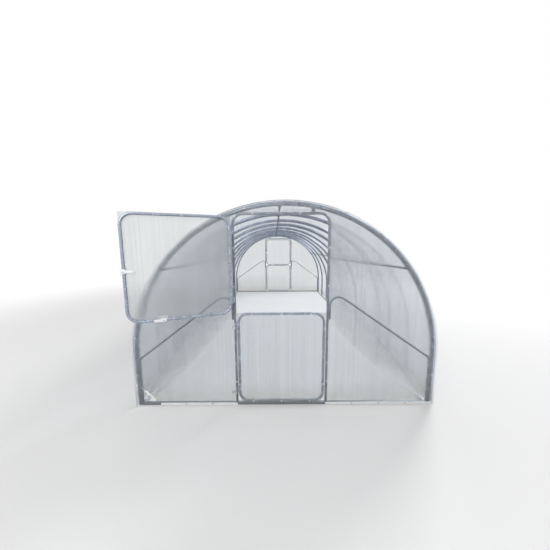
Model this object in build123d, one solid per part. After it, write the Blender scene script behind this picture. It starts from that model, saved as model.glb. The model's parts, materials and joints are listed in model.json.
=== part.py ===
from build123d import *
from math import acos, asin, atan2, cos, degrees, radians, sin, sqrt, tan
import os

# A walk-in tunnel greenhouse: bent round steel arches on base rails, twin-wall
# polycarbonate sheets over the arches and on both gable walls, and a two-leaf
# stable door in each gable. X runs across, Y runs into the house, Z is up.
# The origin is under the middle of the front base rail. Sizes in millimetres.

# House
house_length = 6000.0          # over the outer faces of the two gable frames
half_span = 1505.0             # centre line of the arch legs from the middle
leg_height = 530.0             # straight leg below the round part of an arch
arch_count = 10
arch_tube = 42.0               # outside diameter of an arch tube

# Tubes and rails
rail = 25.0                    # square base rails, height and depth
purlin_tube = 20.0
ridge_shift = -45.0            # the ridge purlin runs a little left of the middle
side_purlin_angle = 37.0       # above the springing line of the arch
brace_tube = 20.0
brace_bend = 60.0              # bend radius at the foot of the slope
brace_hook = 85.0              # bend radius of the hook at the door post
brace_drop = 30.0              # from the end of an arch's straight leg down to the brace's bend
brace_top = 1147.0             # height of the hook's upper side
brace_tail = 915.0             # height of the brace's end beside the door post
clip_sheet = 2.0               # thickness of the straps that hold the purlins
clip_width = 20.0
clip_reach = 26.0              # from the purlin's middle to the end of each ear

# Sheets
sheet = 6.0                    # thickness of the twin-wall sheets
ground_gap = 4.0               # from the sheets' lower edges to the ground
roof_overhang = 16.0           # roof sheet beyond the gable sheet's face
roof_seams = (3, 6)            # arches, counted from 0, that carry a roof seam
seam_gap = 1.0                 # between two roof sheets
corner_cut = 235.0             # the corner that is cut off the left front sheet

# Doorway and door leaves
door_tube = 25.0               # door frame and leaf tubes
door_pitch = 920.0             # between the centre lines of the door posts
door_shift = -32.0             # the doorway's middle from the gable's middle
frame_bend = 95.0              # bend radius of the door frame's upper corners
frame_gap = 1.0                # between the door frame's upper left corner and the end arch
leaf_bend = 95.0               # bend radius of the leaves' corners
door_gap = 8.0                 # between a leaf and whatever stands beside or below it
head_gap = 14.0                # between the upper leaf and the rail over the doorway
leaf_out = 5.0                 # the leaves stand this far in front of the gable's plane
leaf_split = 989.0             # middle of the gap between the two leaves
tie_width = 40.0               # flat ties from the arch to the rail over the door
tie_depth = 6.0
tie_from_left = 87.0           # middle of the left tie from the left post
tie_from_right = 156.0         # middle of the right tie from the right post
leaf_open = 160.0              # how far the front upper leaf stands open

# Hinges
hinge_offset = 33.0            # pin in front of the door frame's middle plane
knuckle = 14.0                 # outside diameter
pin = 6.0
pin_play = 0.3
hinge_plate = 3.0
hinge_length = 60.0
hinge_reach = 48.0             # from the pin to the end of each plate
hinge_inset = 130.0            # from a leaf's upper or lower edge to a hinge

# Latches on the upper leaves
latch_drop = 478.0             # stile latch below the leaf's upper edge
latch_from_free = 285.0        # rail latch's pivot from the leaf's free edge
lever_reach = 70.0             # from the pivot to the middle of the lever's round tip
lever_head = 26.0              # width of the lever at its pivot
lever_tip = 18.0               # width of the lever at its tip
lever_depth = 9.0
saddle_length = 40.0
saddle_wall = 4.5
saddle_start = 9.0             # the saddle begins this far behind the tube's middle
cover_depth = 6.0
cover_corner = 7.0
stile_cover = (46.0, 62.0)     # width and height
stile_cover_reach = 20.0       # the cover stands this far past the free edge
rail_cover = (82.0, 42.0)
rail_cover_shift = 17.0        # middle of the cover from the pivot, towards the free edge

seat = 0.3                     # clearance between pieces that lie together

# Planes and lines that the pieces share
arch_r = arch_tube / 2
door_r = door_tube / 2
brace_r = brace_tube / 2
purlin_r = purlin_tube / 2
sheet_back = -(door_r + seat)              # back face of the gable sheets
sheet_face = sheet_back - sheet            # outer face of the gable sheets
arch_y = arch_r - door_r                   # arch tubes are flush with the posts
brace_y = brace_r - door_r
gable_pitch = house_length - 2 * door_r    # between the middle planes of the gables
arch_pitch = (gable_pitch - 2 * arch_y) / (arch_count - 1)
roof_end = sheet_face - roof_overhang
purlin_reach = half_span - arch_r - purlin_r - seat
purlin_angles = {
    "ridge_purlin": degrees(acos(ridge_shift / purlin_reach)),
    "side_purlin_left": 180 - side_purlin_angle,
    "side_purlin_right": side_purlin_angle,
}
post_left = door_shift - door_pitch / 2
post_right = door_shift + door_pitch / 2
jamb_left = post_left + door_r
jamb_right = post_right - door_r
bend_x = max(-post_left, post_right) - frame_bend
bend_reach = half_span - arch_r - frame_gap - door_r - frame_bend
lintel_height = leg_height + frame_bend + sqrt(bend_reach ** 2 - bend_x ** 2)
leaf_left = jamb_left + door_gap
leaf_right = jamb_right - door_gap
lower_leaf = (rail + door_gap, leaf_split - door_gap / 2)
upper_leaf = (leaf_split + door_gap / 2, lintel_height - door_r - head_gap)
hinge_x = post_left
hinge_y = -hinge_offset
GABLE = Plane(origin=(0, 0, 0), x_dir=(1, 0, 0), z_dir=(0, -1, 0))


def tube(path, diameter):
    """Round bar along a path of straight runs and tangent bends."""
    section = Plane(origin=path @ 0, z_dir=path % 0) * Circle(diameter / 2)
    return sweep(section, path=path)


def block(x, y, z):
    """Box between two limits along each axis."""
    size = [abs(b - a) for a, b in (x, y, z)]
    middle = [(a + b) / 2 for a, b in (x, y, z)]
    return Pos(*middle) * Box(*size)


def upright(x, y, z_low, z_high, diameter):
    """Vertical round bar."""
    return Pos(x, y, (z_low + z_high) / 2) * Cylinder(diameter / 2, z_high - z_low)


def crosswise(x_low, x_high, y, z, diameter):
    """Round bar along X."""
    bar = Rotation(0, 90, 0) * Cylinder(diameter / 2, x_high - x_low)
    return Pos((x_low + x_high) / 2, y, z) * bar


def tunnel(radius, z_low=0.0):
    """Filled outline of the house at a radius from the arch's centre line."""
    height = leg_height - z_low
    legs = Pos(0, z_low + height / 2) * Rectangle(2 * radius, height)
    vault = Pos(0, leg_height) * Circle(radius)
    upper = Pos(0, leg_height + radius / 2) * Rectangle(2 * radius, radius)
    return legs + (vault & upper)


def at_back(shape):
    """The same piece in the back gable, which is the front one turned round."""
    return Pos(0, gable_pitch, 0) * Rot(0, 0, 180) * shape


def arch(y):
    """One bent arch with its two straight legs, standing on the ground."""
    line = Plane(origin=(0, y, 0), x_dir=(1, 0, 0), z_dir=(0, -1, 0))
    left = Line((-half_span, 0), (-half_span, leg_height))
    vault = CenterArc((0, leg_height), half_span, 180, -180)
    right = Line((half_span, leg_height), (half_span, 0))
    return tube(line * Wire([left, vault, right]), arch_tube)


def purlin(angle):
    """Long tube under all the arches, at an angle above the springing line."""
    x = purlin_reach * cos(radians(angle))
    z = leg_height + purlin_reach * sin(radians(angle))
    bar = Rotation(90, 0, 0) * Cylinder(purlin_r, gable_pitch)
    return Pos(x, gable_pitch / 2, z) * bar


def clip_outline():
    """Strap round the inner side of a purlin at the origin, with ears at the arch above it."""
    inner = purlin_r + seat
    outer = inner + clip_sheet
    strap = (Circle(outer) - Circle(inner)) & Pos(0, -outer / 2) * Rectangle(2 * outer, outer)
    for side in (-1, 1):
        strap += Pos(side * (inner + outer) / 2, purlin_r / 2) * Rectangle(clip_sheet, purlin_r)
        ear = Rectangle(clip_reach - inner, clip_sheet)
        strap += Pos(side * (inner + clip_reach) / 2, purlin_r - clip_sheet / 2) * ear
    return strap


def purlin_clips():
    """Straps that hold the purlins to every arch."""
    clips = []
    for angle in purlin_angles.values():
        along, up = cos(radians(angle)), sin(radians(angle))
        for index in range(arch_count):
            y = arch_y + index * arch_pitch + clip_width / 2
            at = (purlin_reach * along, y, leg_height + purlin_reach * up)
            plane = Plane(origin=at, x_dir=(up, 0, -along), z_dir=(0, -1, 0))
            clips.append(extrude(plane * clip_outline(), clip_width).solid())
    return Compound(clips)


def side_base_rail(side):
    """Square rail on the ground, inside the arch legs of one side."""
    outer = side * (half_span - arch_r - seat)
    inner = outer - side * rail
    start = rail / 2 + seat
    return block((inner, outer), (start, gable_pitch - start), (0, rail))


def gable_base_rail():
    """Square rail on the ground between the legs of the end arch."""
    end = half_span - arch_r - seat
    return block((-end, end), (-rail / 2, rail / 2), (0, rail))


def door_frame():
    """Bent door frame on the base rail, with two ties up to the arch."""
    corners = [(post_left, rail + seat), (post_left, lintel_height),
               (post_right, lintel_height), (post_right, rail + seat)]
    frame = tube(GABLE * FilletPolyline(corners, radius=frame_bend), door_tube)
    pieces = [frame]
    for x in (post_left + tie_from_left, post_right - tie_from_right):
        across = (x - tie_width / 2, x + tie_width / 2)
        z_arch = leg_height + sqrt(half_span ** 2 - x ** 2)
        tie = block(across, (0, tie_depth), (lintel_height, z_arch))
        tie -= crosswise(*across, 0, lintel_height, door_tube + 2 * seat)
        tie -= arch_shell(across)
        pieces.append(max(tie.solids(), key=lambda s: s.volume))
    return Compound(pieces)


def arch_shell(across):
    """The end arch with its seat clearance, where the ties meet it."""
    ring = Pos(0, arch_y, leg_height) * Rotation(90, 0, 0) * Torus(half_span, arch_r + seat)
    return ring & block(across, (-arch_tube, arch_tube), (leg_height, leg_height + 2 * half_span))


def brace(side):
    """Bent brace: up beside the arch leg, along the slope, and hooked down to the post."""
    leg_drop = arch_y - brace_y
    leg_x = half_span - sqrt((arch_r + brace_r + seat) ** 2 - leg_drop ** 2)
    beside = sqrt((door_r + brace_r + seat) ** 2 - brace_y ** 2)
    post = post_right if side > 0 else -post_left
    tail_x = post + beside
    bend_z = leg_height - brace_drop
    run = leg_x - tail_x - brace_hook
    rise = brace_top - brace_r - brace_hook - bend_z
    slope = atan2(rise, run) + asin(brace_hook / sqrt(run ** 2 + rise ** 2))
    top = bend_z + (leg_x - tail_x) * tan(slope)
    points = [(leg_x, rail + seat), (leg_x, bend_z), (tail_x, top), (tail_x, brace_tail)]
    points = [(side * x, z) for x, z in points]
    path = FilletPolyline(points, radius=[brace_bend, brace_hook])
    plane = Plane(origin=(0, brace_y, 0), x_dir=(1, 0, 0), z_dir=(0, -1, 0))
    return tube(plane * path, brace_tube)


def gable_sheet(outline):
    """Sheet on the outer face of the gable frame."""
    flat = Plane(origin=(0, sheet_back, 0), x_dir=(1, 0, 0), z_dir=(0, -1, 0))
    return extrude(flat * outline, sheet)


def gable_panels(cut_corner):
    """Left, right and upper sheet of a gable."""
    outline = tunnel(half_span + arch_r, ground_gap)
    edge = half_span + arch_r
    tall = leg_height + edge
    left = outline & Pos((jamb_left - edge) / 2, tall / 2) * Rectangle(edge + jamb_left, tall)
    right = outline & Pos((jamb_right + edge) / 2, tall / 2) * Rectangle(edge - jamb_right, tall)
    low = lintel_height - door_r
    middle = (jamb_left + jamb_right) / 2
    width = jamb_right - jamb_left - 2 * seat
    over = outline & Pos(middle, (low + tall) / 2) * Rectangle(width, tall - low)
    if cut_corner:
        corner = [(-edge, 0), (-edge + corner_cut + ground_gap, 0), (-edge, corner_cut + ground_gap)]
        left -= make_face(Polyline(*corner, close=True))
    return gable_sheet(left), gable_sheet(right), gable_sheet(over)


def roof_sheet(y_start, y_end):
    """Sheet bent over the arches from ground to ground."""
    inner = half_span + arch_r + seat
    ring = tunnel(inner + sheet, ground_gap) - tunnel(inner, ground_gap)
    plane = Plane(origin=(0, y_start, 0), x_dir=(1, 0, 0), z_dir=(0, -1, 0))
    return extrude(plane * ring, y_start - y_end)


def leaf_ring(z_low, z_high):
    """Bent tube ring of a door leaf."""
    x_low, x_high = leaf_left + door_r, leaf_right - door_r
    z_low, z_high = z_low + door_r, z_high - door_r
    middle = (x_low + x_high) / 2
    halves = []
    for side in (1, -1):
        x = x_high if side > 0 else x_low
        points = [(middle, z_low), (x, z_low), (x, z_high), (middle, z_high)]
        halves.append(tube(GABLE * FilletPolyline(points, radius=leaf_bend), door_tube))
    return halves[0] + halves[1]


def leaf_sheet(z_low, z_high):
    """Leaf sheet, square at the upper corners and rounded at the lower ones."""
    middle = ((leaf_left + leaf_right) / 2, (z_low + z_high) / 2)
    outline = Pos(*middle) * Rectangle(leaf_right - leaf_left, z_high - z_low)
    lower = outline.vertices().sort_by(Axis.Y)[:2]
    return in_leaf_plane(gable_sheet(fillet(lower, leaf_bend + door_r)))


def hinge_heights(z_low, z_high):
    """Heights of a leaf's two hinges."""
    return (z_low + hinge_inset, z_high - hinge_inset)


def hinge_half(z, side):
    """Half of a hinge: the lower half sits on the post's sheet, the upper one on the leaf's."""
    low, high = (z - hinge_length / 2, z) if side < 0 else (z + seat, z + hinge_length / 2)
    back = sheet_face - seat - (leaf_out if side > 0 else 0)
    web = (hinge_x + side * (knuckle / 2 - hinge_plate), hinge_x + side * knuckle / 2)
    half = upright(hinge_x, hinge_y, low, high, knuckle)
    half += block(web, (hinge_y, back), (low, high))
    half += block((web[0], hinge_x + side * hinge_reach), (back - hinge_plate, back), (low, high))
    if side > 0:
        half -= upright(hinge_x, hinge_y, low, high, pin + 2 * pin_play)
    return half


def fixed_hinges():
    """Post halves of the four hinges of a gable, with their pins."""
    pieces = []
    for limits in (lower_leaf, upper_leaf):
        for z in hinge_heights(*limits):
            half = hinge_half(z, -1)
            half += upright(hinge_x, hinge_y, z - seat, z + hinge_length / 2, pin)
            pieces.append(half)
    return Compound([p.solid() for p in pieces])


def in_leaf_plane(shape):
    """Move a piece of a leaf out to the plane of the leaves."""
    return Pos(0, -leaf_out, 0) * shape


def leaf_frame(z_low, z_high):
    """Leaf ring with the moving halves of its hinges."""
    pieces = [in_leaf_plane(leaf_ring(z_low, z_high))]
    for z in hinge_heights(z_low, z_high):
        pieces.append(hinge_half(z, 1))
    return Compound([p.solid() for p in pieces])


def saddle():
    """Shell that clips over the inner side of a tube along Z."""
    shell = Cylinder(door_r + seat + saddle_wall, saddle_length)
    shell -= Cylinder(door_r + seat, saddle_length)
    return shell & block((-door_tube, door_tube), (saddle_start, door_tube), (-saddle_length, saddle_length))


def lever():
    """Tapered lever on the inner side, with its pivot at the origin and its tip towards -X."""
    back = door_r + seat + saddle_wall
    rounds = Circle(lever_head / 2).edges() + (Pos(-lever_reach, 0) * Circle(lever_tip / 2)).edges()
    plane = Plane(origin=(0, back - seat, 0), x_dir=(1, 0, 0), z_dir=(0, -1, 0))
    return extrude(plane * make_hull(rounds), -lever_depth)


def cover(x, z, size):
    """Outer cover of a latch, on the leaf's sheet."""
    plane = Plane(origin=(0, sheet_face - seat, 0), x_dir=(1, 0, 0), z_dir=(0, -1, 0))
    return extrude(plane * Pos(x, z) * RectangleRounded(*size, cover_corner), cover_depth)


def stile_latch():
    """Latch on the free stile of an upper leaf, its lever turned inwards."""
    x = leaf_right - door_r
    z = upper_leaf[1] - latch_drop
    inside = Pos(x, 0, z) * (lever() + saddle())
    middle = leaf_right + stile_cover_reach - stile_cover[0] / 2
    return [inside, cover(middle, z, stile_cover)]


def rail_latch():
    """Latch on the bottom rail of an upper leaf, its lever along the rail."""
    x = leaf_right - latch_from_free
    z = upper_leaf[0] + door_r
    inside = Pos(x, 0, z) * (Rotation(0, 180, 0) * lever() + Rotation(0, 90, 0) * saddle())
    middle = upper_leaf[0] + rail_cover[1] / 2
    return [inside, cover(x + rail_cover_shift, middle, rail_cover)]


def upper_latches():
    """Both latches of an upper leaf."""
    return Compound([in_leaf_plane(p).solid() for p in stile_latch() + rail_latch()])


def stand_open(shape):
    """Swing a closed piece of the front upper leaf out to where it stands."""
    pivot = Pos(hinge_x, hinge_y, 0)
    return pivot * Rot(0, 0, -leaf_open) * pivot.inverse() * shape


def gable_nodes(end):
    """All pieces of one gable in front position, by name."""
    left, right, over = gable_panels(cut_corner=end == "front")
    return {
        "base_rail": gable_base_rail(),
        "door_frame": door_frame(),
        "brace_left": brace(-1),
        "brace_right": brace(1),
        "panel_left": left,
        "panel_right": right,
        "panel_over_door": over,
        "hinges": fixed_hinges(),
        "upper_leaf_frame": leaf_frame(*upper_leaf),
        "upper_leaf_sheet": leaf_sheet(*upper_leaf),
        "upper_leaf_latches": upper_latches(),
        "lower_leaf_frame": leaf_frame(*lower_leaf),
        "lower_leaf_sheet": leaf_sheet(*lower_leaf),
    }


def house_nodes():
    """All pieces between the gables, by name."""
    nodes = {}
    for index in range(arch_count):
        nodes[f"arch_{index + 1:02d}"] = arch(arch_y + index * arch_pitch)
    for name, angle in purlin_angles.items():
        nodes[name] = purlin(angle)
    nodes["purlin_clips"] = purlin_clips()
    nodes["side_base_rail_left"] = side_base_rail(-1)
    nodes["side_base_rail_right"] = side_base_rail(1)
    ends = [roof_end]
    for index in roof_seams:
        y_seam = arch_y + index * arch_pitch
        ends += [y_seam - seam_gap / 2, y_seam + seam_gap / 2]
    ends.append(gable_pitch - roof_end)
    for number, name in enumerate(("front", "middle", "back")):
        nodes[f"roof_sheet_{name}"] = roof_sheet(ends[2 * number], ends[2 * number + 1])
    return nodes


def main():
    nodes = house_nodes()
    for name, shape in gable_nodes("front").items():
        nodes[f"front_{name}"] = stand_open(shape) if name.startswith("upper_leaf") else shape
    for name, shape in gable_nodes("back").items():
        nodes[f"back_{name}"] = at_back(shape)
    os.makedirs("parts", exist_ok=True)
    for name, shape in nodes.items():
        export_step(shape, f"parts/{name}.step")
        print(name)


if __name__ == "__main__":
    main()
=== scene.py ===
"""Looks of a walk-in tunnel greenhouse, dressed around its packed steel frame and sheets."""

import json
import logging
from dataclasses import dataclass
from enum import Enum
from math import atan, cos, pi, radians, sin
from typing import Callable, Iterable

import bmesh
import bpy
from mathutils import Matrix, Vector


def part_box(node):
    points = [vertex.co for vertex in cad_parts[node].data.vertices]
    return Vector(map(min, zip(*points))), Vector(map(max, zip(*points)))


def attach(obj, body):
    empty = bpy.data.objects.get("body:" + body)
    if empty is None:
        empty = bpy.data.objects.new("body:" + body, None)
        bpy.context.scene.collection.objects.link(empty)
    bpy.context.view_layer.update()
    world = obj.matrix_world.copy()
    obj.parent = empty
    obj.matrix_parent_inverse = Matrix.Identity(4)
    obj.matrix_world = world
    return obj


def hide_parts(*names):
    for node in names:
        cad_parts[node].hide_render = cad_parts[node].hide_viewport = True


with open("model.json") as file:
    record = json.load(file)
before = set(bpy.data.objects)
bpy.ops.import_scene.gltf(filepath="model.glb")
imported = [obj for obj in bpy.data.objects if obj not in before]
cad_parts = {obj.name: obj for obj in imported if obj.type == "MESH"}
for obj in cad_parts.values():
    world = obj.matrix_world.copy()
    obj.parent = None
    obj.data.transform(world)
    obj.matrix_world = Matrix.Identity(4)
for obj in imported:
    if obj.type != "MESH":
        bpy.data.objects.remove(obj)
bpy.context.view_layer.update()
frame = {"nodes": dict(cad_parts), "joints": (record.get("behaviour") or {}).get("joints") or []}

logging.basicConfig(level=logging.INFO, format="%(name)s: %(message)s")
LOG = logging.getLogger("greenhouse")

Piece = bpy.types.Object
Node = bpy.types.Node
Socket = bpy.types.NodeSocket
Colour = tuple[float, float, float]
Values = dict[str | int, object]
UP = Vector((0.0, 0.0, 1.0))
TO_RIGHT = Vector((1.0, 0.0, 0.0))
TO_FRONT = Vector((0.0, -1.0, 0.0))
IN_PLACE = Matrix.Identity(4)
ENDS = ("front", "back")
SIDES = {"left": -1, "right": 1}
SMOOTH_ANGLE = radians(35.0)
OPEN_ANGLE = radians(160.0)
FACING_SHARE = 0.95
TOUCHING = 1e-4


class Body(Enum):
    """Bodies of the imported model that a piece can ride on."""

    HOUSE = "house"
    FRONT_UPPER = "front_upper_door"
    FRONT_LOWER = "front_lower_door"
    BACK_UPPER = "back_upper_door"
    BACK_LOWER = "back_lower_door"


class Slot(Enum):
    """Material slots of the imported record."""

    STEEL = "galvanised_steel"
    HARDWARE = "zinc_steel"
    SHEET = "polycarbonate"
    PLASTIC = "white_plastic"


class FluteRun(Enum):
    """The axis that crosses the flutes of a sheet, as a socket of Separate XYZ."""

    UPRIGHT = "X"
    OVER_ARCH = "Y"


class Level(Enum):
    """The two leaves of a stable door."""

    UPPER = "upper"
    LOWER = "lower"


@dataclass(frozen=True)
class Spot:
    """A place for a copied piece: a point and the way its head faces."""

    point: Vector
    outward: Vector

    def matrix(self) -> Matrix:
        """Matrix that stands a piece, modelled along +Z, on the spot."""
        turn = self.outward.to_track_quat("Z", "Y").to_matrix().to_4x4()
        return Matrix.Translation(self.point) @ turn


def take_alone(piece: Piece) -> None:
    """Deselect everything, then select one piece and make it active.

    Args:
        piece: The piece that the next operators act on.
    """
    bpy.ops.object.select_all(action="DESELECT")
    piece.select_set(True)
    bpy.context.view_layer.objects.active = piece


def settle(piece: Piece) -> Piece:
    """Move a piece's place, turn and size into its mesh.

    Args:
        piece: A new mesh piece.

    Returns:
        The same piece, with its object at the origin.
    """
    take_alone(piece)
    bpy.ops.object.transform_apply(location=True, rotation=True, scale=True)
    return piece


def move_by(piece: Piece, matrix: Matrix) -> Piece:
    """Turn and move a piece by a matrix, and settle it there."""
    piece.matrix_world = matrix @ piece.matrix_world
    return settle(piece)


def round_edges(piece: Piece, width: float, segments: int, sharp_angle: float) -> None:
    """Bevel the sharp edges of a piece.

    Args:
        piece: The piece to change.
        width: Width of the bevel.
        segments: How many steps it has.
        sharp_angle: Angle in degrees from which an edge counts as sharp.
    """
    take_alone(piece)
    bevel = piece.modifiers.new("Bevel", "BEVEL")
    bevel.width = width
    bevel.segments = segments
    bevel.limit_method = "ANGLE"
    bevel.angle_limit = radians(sharp_angle)
    bpy.ops.object.modifier_apply(modifier=bevel.name)


def join(pieces: list[Piece]) -> Piece:
    """Join pieces into the first one.

    Args:
        pieces: The pieces, at least one.

    Returns:
        The joined piece, with its object at the origin.
    """
    take_alone(pieces[0])
    for piece in pieces[1:]:
        piece.select_set(True)
    bpy.ops.object.join()
    return settle(pieces[0])


def copy_to(model: Piece, spots: Iterable[Spot]) -> Piece:
    """Copy a modelled piece to many spots and join the copies.

    Args:
        model: The piece modelled once, along +Z from the origin; it is used up.
        spots: Where the copies stand.

    Returns:
        One piece that holds all the copies.
    """
    copies = []
    for spot in spots:
        copy = model.copy()
        copy.data = model.data.copy()
        bpy.context.scene.collection.objects.link(copy)
        copy.matrix_world = spot.matrix()
        copies.append(copy)
    bpy.data.objects.remove(model)
    return join(copies)


def hand_over(piece: Piece, name: str, body: Body, *finishes: "Finish") -> None:
    """Name a finished piece, dress it and let it ride on its body.

    Args:
        piece: The finished piece, in place.
        name: Its name.
        body: The body that carries it.
        *finishes: Its finishes, by slot index of its faces.
    """
    settle(piece)
    bpy.ops.object.shade_smooth_by_angle(angle=SMOOTH_ANGLE)
    piece.name = name
    piece.data.name = name
    piece.data.materials.clear()
    for finish in finishes:
        piece.data.materials.append(finish.material())
    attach(piece, body.value)
    LOG.info("%s: %d faces", name, len(piece.data.polygons))


def fit(name: str, model: Piece, spots: Iterable[Spot], place: Matrix, body: Body,
        *finishes: "Finish") -> None:
    """Copy a small part to its spots, move the copies to their place and hand them over as one piece."""
    hand_over(move_by(copy_to(model, spots), place), name, body, *finishes)


def dress(node: str, finish: "Finish") -> None:
    """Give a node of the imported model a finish.

    Args:
        node: The node's name.
        finish: Its finish.
    """
    materials = frame["nodes"][node].data.materials
    materials.clear()
    materials.append(finish.material())
    LOG.info("%s: %s", node, finish.name)


class Editing:
    """Edit mode on one piece, entered with nothing selected."""

    def __init__(self, piece: Piece) -> None:
        """Keep the piece that is edited."""
        self.piece = piece

    def __enter__(self) -> "Editing":
        """Enter edit mode and clear the selection.

        Returns:
            The edit itself.
        """
        take_alone(self.piece)
        bpy.ops.object.mode_set(mode="EDIT")
        bpy.ops.mesh.select_mode(type="FACE")
        bpy.ops.mesh.select_all(action="DESELECT")
        return self

    def __exit__(self, *problem: object) -> None:
        """Go back to object mode."""
        bpy.ops.object.mode_set(mode="OBJECT")

    def pick(self, test: Callable[[Vector, Vector], bool]) -> None:
        """Select the faces that pass a test, and no others.

        Args:
            test: Says from a face's centre and normal whether it is picked.
        """
        mesh = bmesh.from_edit_mesh(self.piece.data)
        for face in mesh.faces:
            face.select_set(test(face.calc_center_median(), face.normal))
        bmesh.update_edit_mesh(self.piece.data)

    def pick_facing(self, way: Vector) -> None:
        """Select the faces that look one way."""
        self.pick(lambda centre, normal: normal.dot(way) > FACING_SHARE)

    def extrude(self, move: Vector) -> None:
        """Extrude the selected faces by a vector."""
        bpy.ops.mesh.extrude_region_move(TRANSFORM_OT_translate={"value": tuple(move)})

    def scale(self, factors: tuple[float, float, float], about: Vector) -> None:
        """Scale what is selected about a point."""
        bpy.ops.transform.resize(value=factors, center_override=tuple(about))

    def crown(self, height: float, share: float) -> None:
        """Raise the selected top and draw it in to a share of its width, about the Z axis."""
        self.extrude(UP * height)
        self.scale((share, share, 1.0), Vector())

    def inset(self, thickness: float) -> None:
        """Inset the selected faces."""
        bpy.ops.mesh.inset(thickness=thickness)


def add_block(low: Vector, high: Vector) -> Piece:
    """Add a box between two corners, as the start of a piece.

    Args:
        low: Its lowest corner.
        high: Its highest corner.

    Returns:
        The box, with its object at the origin.
    """
    bpy.ops.mesh.primitive_cube_add(size=1.0, location=(low + high) / 2)
    piece = bpy.context.object
    piece.scale = high - low
    return settle(piece)


def add_round(radius: float, low: float, high: float, sides: int) -> Piece:
    """Add an upright cylinder on the Z axis, as the start of a piece.

    Args:
        radius: Its radius.
        low: Height of its underside.
        high: Height of its upper side.
        sides: How many sides it has.

    Returns:
        The cylinder, with its object at the origin.
    """
    middle = UP * (low + high) / 2
    bpy.ops.mesh.primitive_cylinder_add(vertices=sides, radius=radius, depth=high - low, location=middle)
    return settle(bpy.context.object)


class Graph:
    """Adds and joins the nodes of one node tree."""

    def __init__(self, tree: bpy.types.NodeTree) -> None:
        """Keep the tree that the nodes go into."""
        self.tree = tree

    @classmethod
    def of(cls, owner: bpy.types.Material | bpy.types.World) -> "Graph":
        """Start an empty node tree.

        Args:
            owner: The material or world that the nodes belong to.

        Returns:
            Its graph.
        """
        owner.use_nodes = True
        owner.node_tree.nodes.clear()
        return cls(owner.node_tree)

    def add(self, kind: str, values: Values | None = None, **settings: object) -> Node:
        """Add a node.

        Args:
            kind: Blender's name of the node type.
            values: A value or a socket for each named or numbered input.
            **settings: Values for the node's own properties.

        Returns:
            The new node.
        """
        node = self.tree.nodes.new(kind)
        for name, value in settings.items():
            setattr(node, name, value)
        self.feed(node, values or {})
        return node

    def feed(self, node: Node, values: Values) -> None:
        """Give the inputs of a node a value or a socket each.

        Args:
            node: The node.
            values: A value or a socket for each named or numbered input.
        """
        for name, value in values.items():
            if isinstance(value, Socket):
                self.tree.links.new(value, node.inputs[name])
            else:
                node.inputs[name].default_value = value

    def math(self, operation: str, *values: float | Socket) -> Socket:
        """Add a Math node and give its result."""
        return self.add("ShaderNodeMath", dict(enumerate(values)), operation=operation).outputs[0]

    def spread(self, value: Socket, low: float | Socket, high: float | Socket,
               to_low: float = 0.0, to_high: float = 1.0) -> Socket:
        """Map a value from one range to another, held at both ends."""
        values = {0: value, 1: low, 2: high, 3: to_low, 4: to_high}
        return self.add("ShaderNodeMapRange", values, interpolation_type="SMOOTHSTEP").outputs[0]

    def blend(self, factor: float | Socket, *colours: Socket | Colour) -> Socket:
        """Mix two colours and give the result."""
        first, second = (c if isinstance(c, Socket) else (*c, 1.0) for c in colours)
        return self.add("ShaderNodeMix", {0: factor, 6: first, 7: second}, data_type="RGBA").outputs[2]

    def layered(self, base: Socket | Colour, *coats: tuple[Socket, float, Colour]) -> Socket:
        """Lay coats of colour over a base.

        Args:
            base: The colour under all coats.
            *coats: Mask, strength and colour of each coat, from the lowest up.

        Returns:
            The colour on top.
        """
        for mask, strength, colour in coats:
            base = self.blend(self.math("MULTIPLY", mask, strength), base, colour)
        return base

    def raised(self, base: float | Socket, *gains: tuple[Socket, float]) -> Socket:
        """Raise a value by masks.

        Args:
            base: The value without any mask.
            *gains: Each mask with what it adds where it is one.

        Returns:
            The raised value.
        """
        for mask, gain in gains:
            base = self.math("MULTIPLY_ADD", mask, gain, base)
        return base

    def noise(self, where: Socket, scale: float | Socket, detail: float = 3.0) -> Socket:
        """Add a Noise texture and give its value."""
        values = {"Vector": where, "Scale": scale, "Detail": detail, "Roughness": 0.55}
        return self.add("ShaderNodeTexNoise", values).outputs[0]

    def stretched(self, where: Socket, along_z: float) -> Socket:
        """Coordinates with Z scaled, so that what they drive is stretched along it."""
        values = {0: where, 1: (1.0, 1.0, along_z)}
        return self.add("ShaderNodeVectorMath", values, operation="MULTIPLY").outputs[0]

    def bump(self, height: Socket, **values: float) -> Socket:
        """Add a Bump node with a Distance and a Strength, and give its normal."""
        return self.add("ShaderNodeBump", {"Height": height, **values}).outputs[0]

    def object_point(self) -> Socket:
        """Object coordinates of the point that is shaded."""
        return self.add("ShaderNodeTexCoord").outputs["Object"]


class Effect:
    """A shader node group that several materials share, built at its first use."""

    name: str
    inputs: dict[str, float]
    outputs: tuple[str, ...]

    @classmethod
    def place(cls, graph: Graph, values: Values) -> Node:
        """Place the group in a material, with a value or socket for each input."""
        tree = bpy.data.node_groups.get(cls.name) or cls.build()
        return graph.add("ShaderNodeGroup", values, node_tree=tree)

    @classmethod
    def build(cls) -> bpy.types.NodeTree:
        """Make the group's tree with its named sockets and fill it.

        Returns:
            The tree.
        """
        tree = bpy.data.node_groups.new(cls.name, "ShaderNodeTree")
        for name, value in cls.inputs.items():
            socket = tree.interface.new_socket(name, in_out="INPUT", socket_type="NodeSocketFloat")
            socket.default_value = value
        for name in cls.outputs:
            tree.interface.new_socket(name, in_out="OUTPUT", socket_type="NodeSocketFloat")
        graph = Graph(tree)
        entry = graph.add("NodeGroupInput")
        results = cls.fill(graph, {name: entry.outputs[name] for name in cls.inputs})
        graph.add("NodeGroupOutput", results)
        return tree

    @classmethod
    def fill(cls, graph: Graph, given: dict[str, Socket]) -> dict[str, Socket]:
        """Fill the group; each effect has its own."""
        raise NotImplementedError


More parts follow.
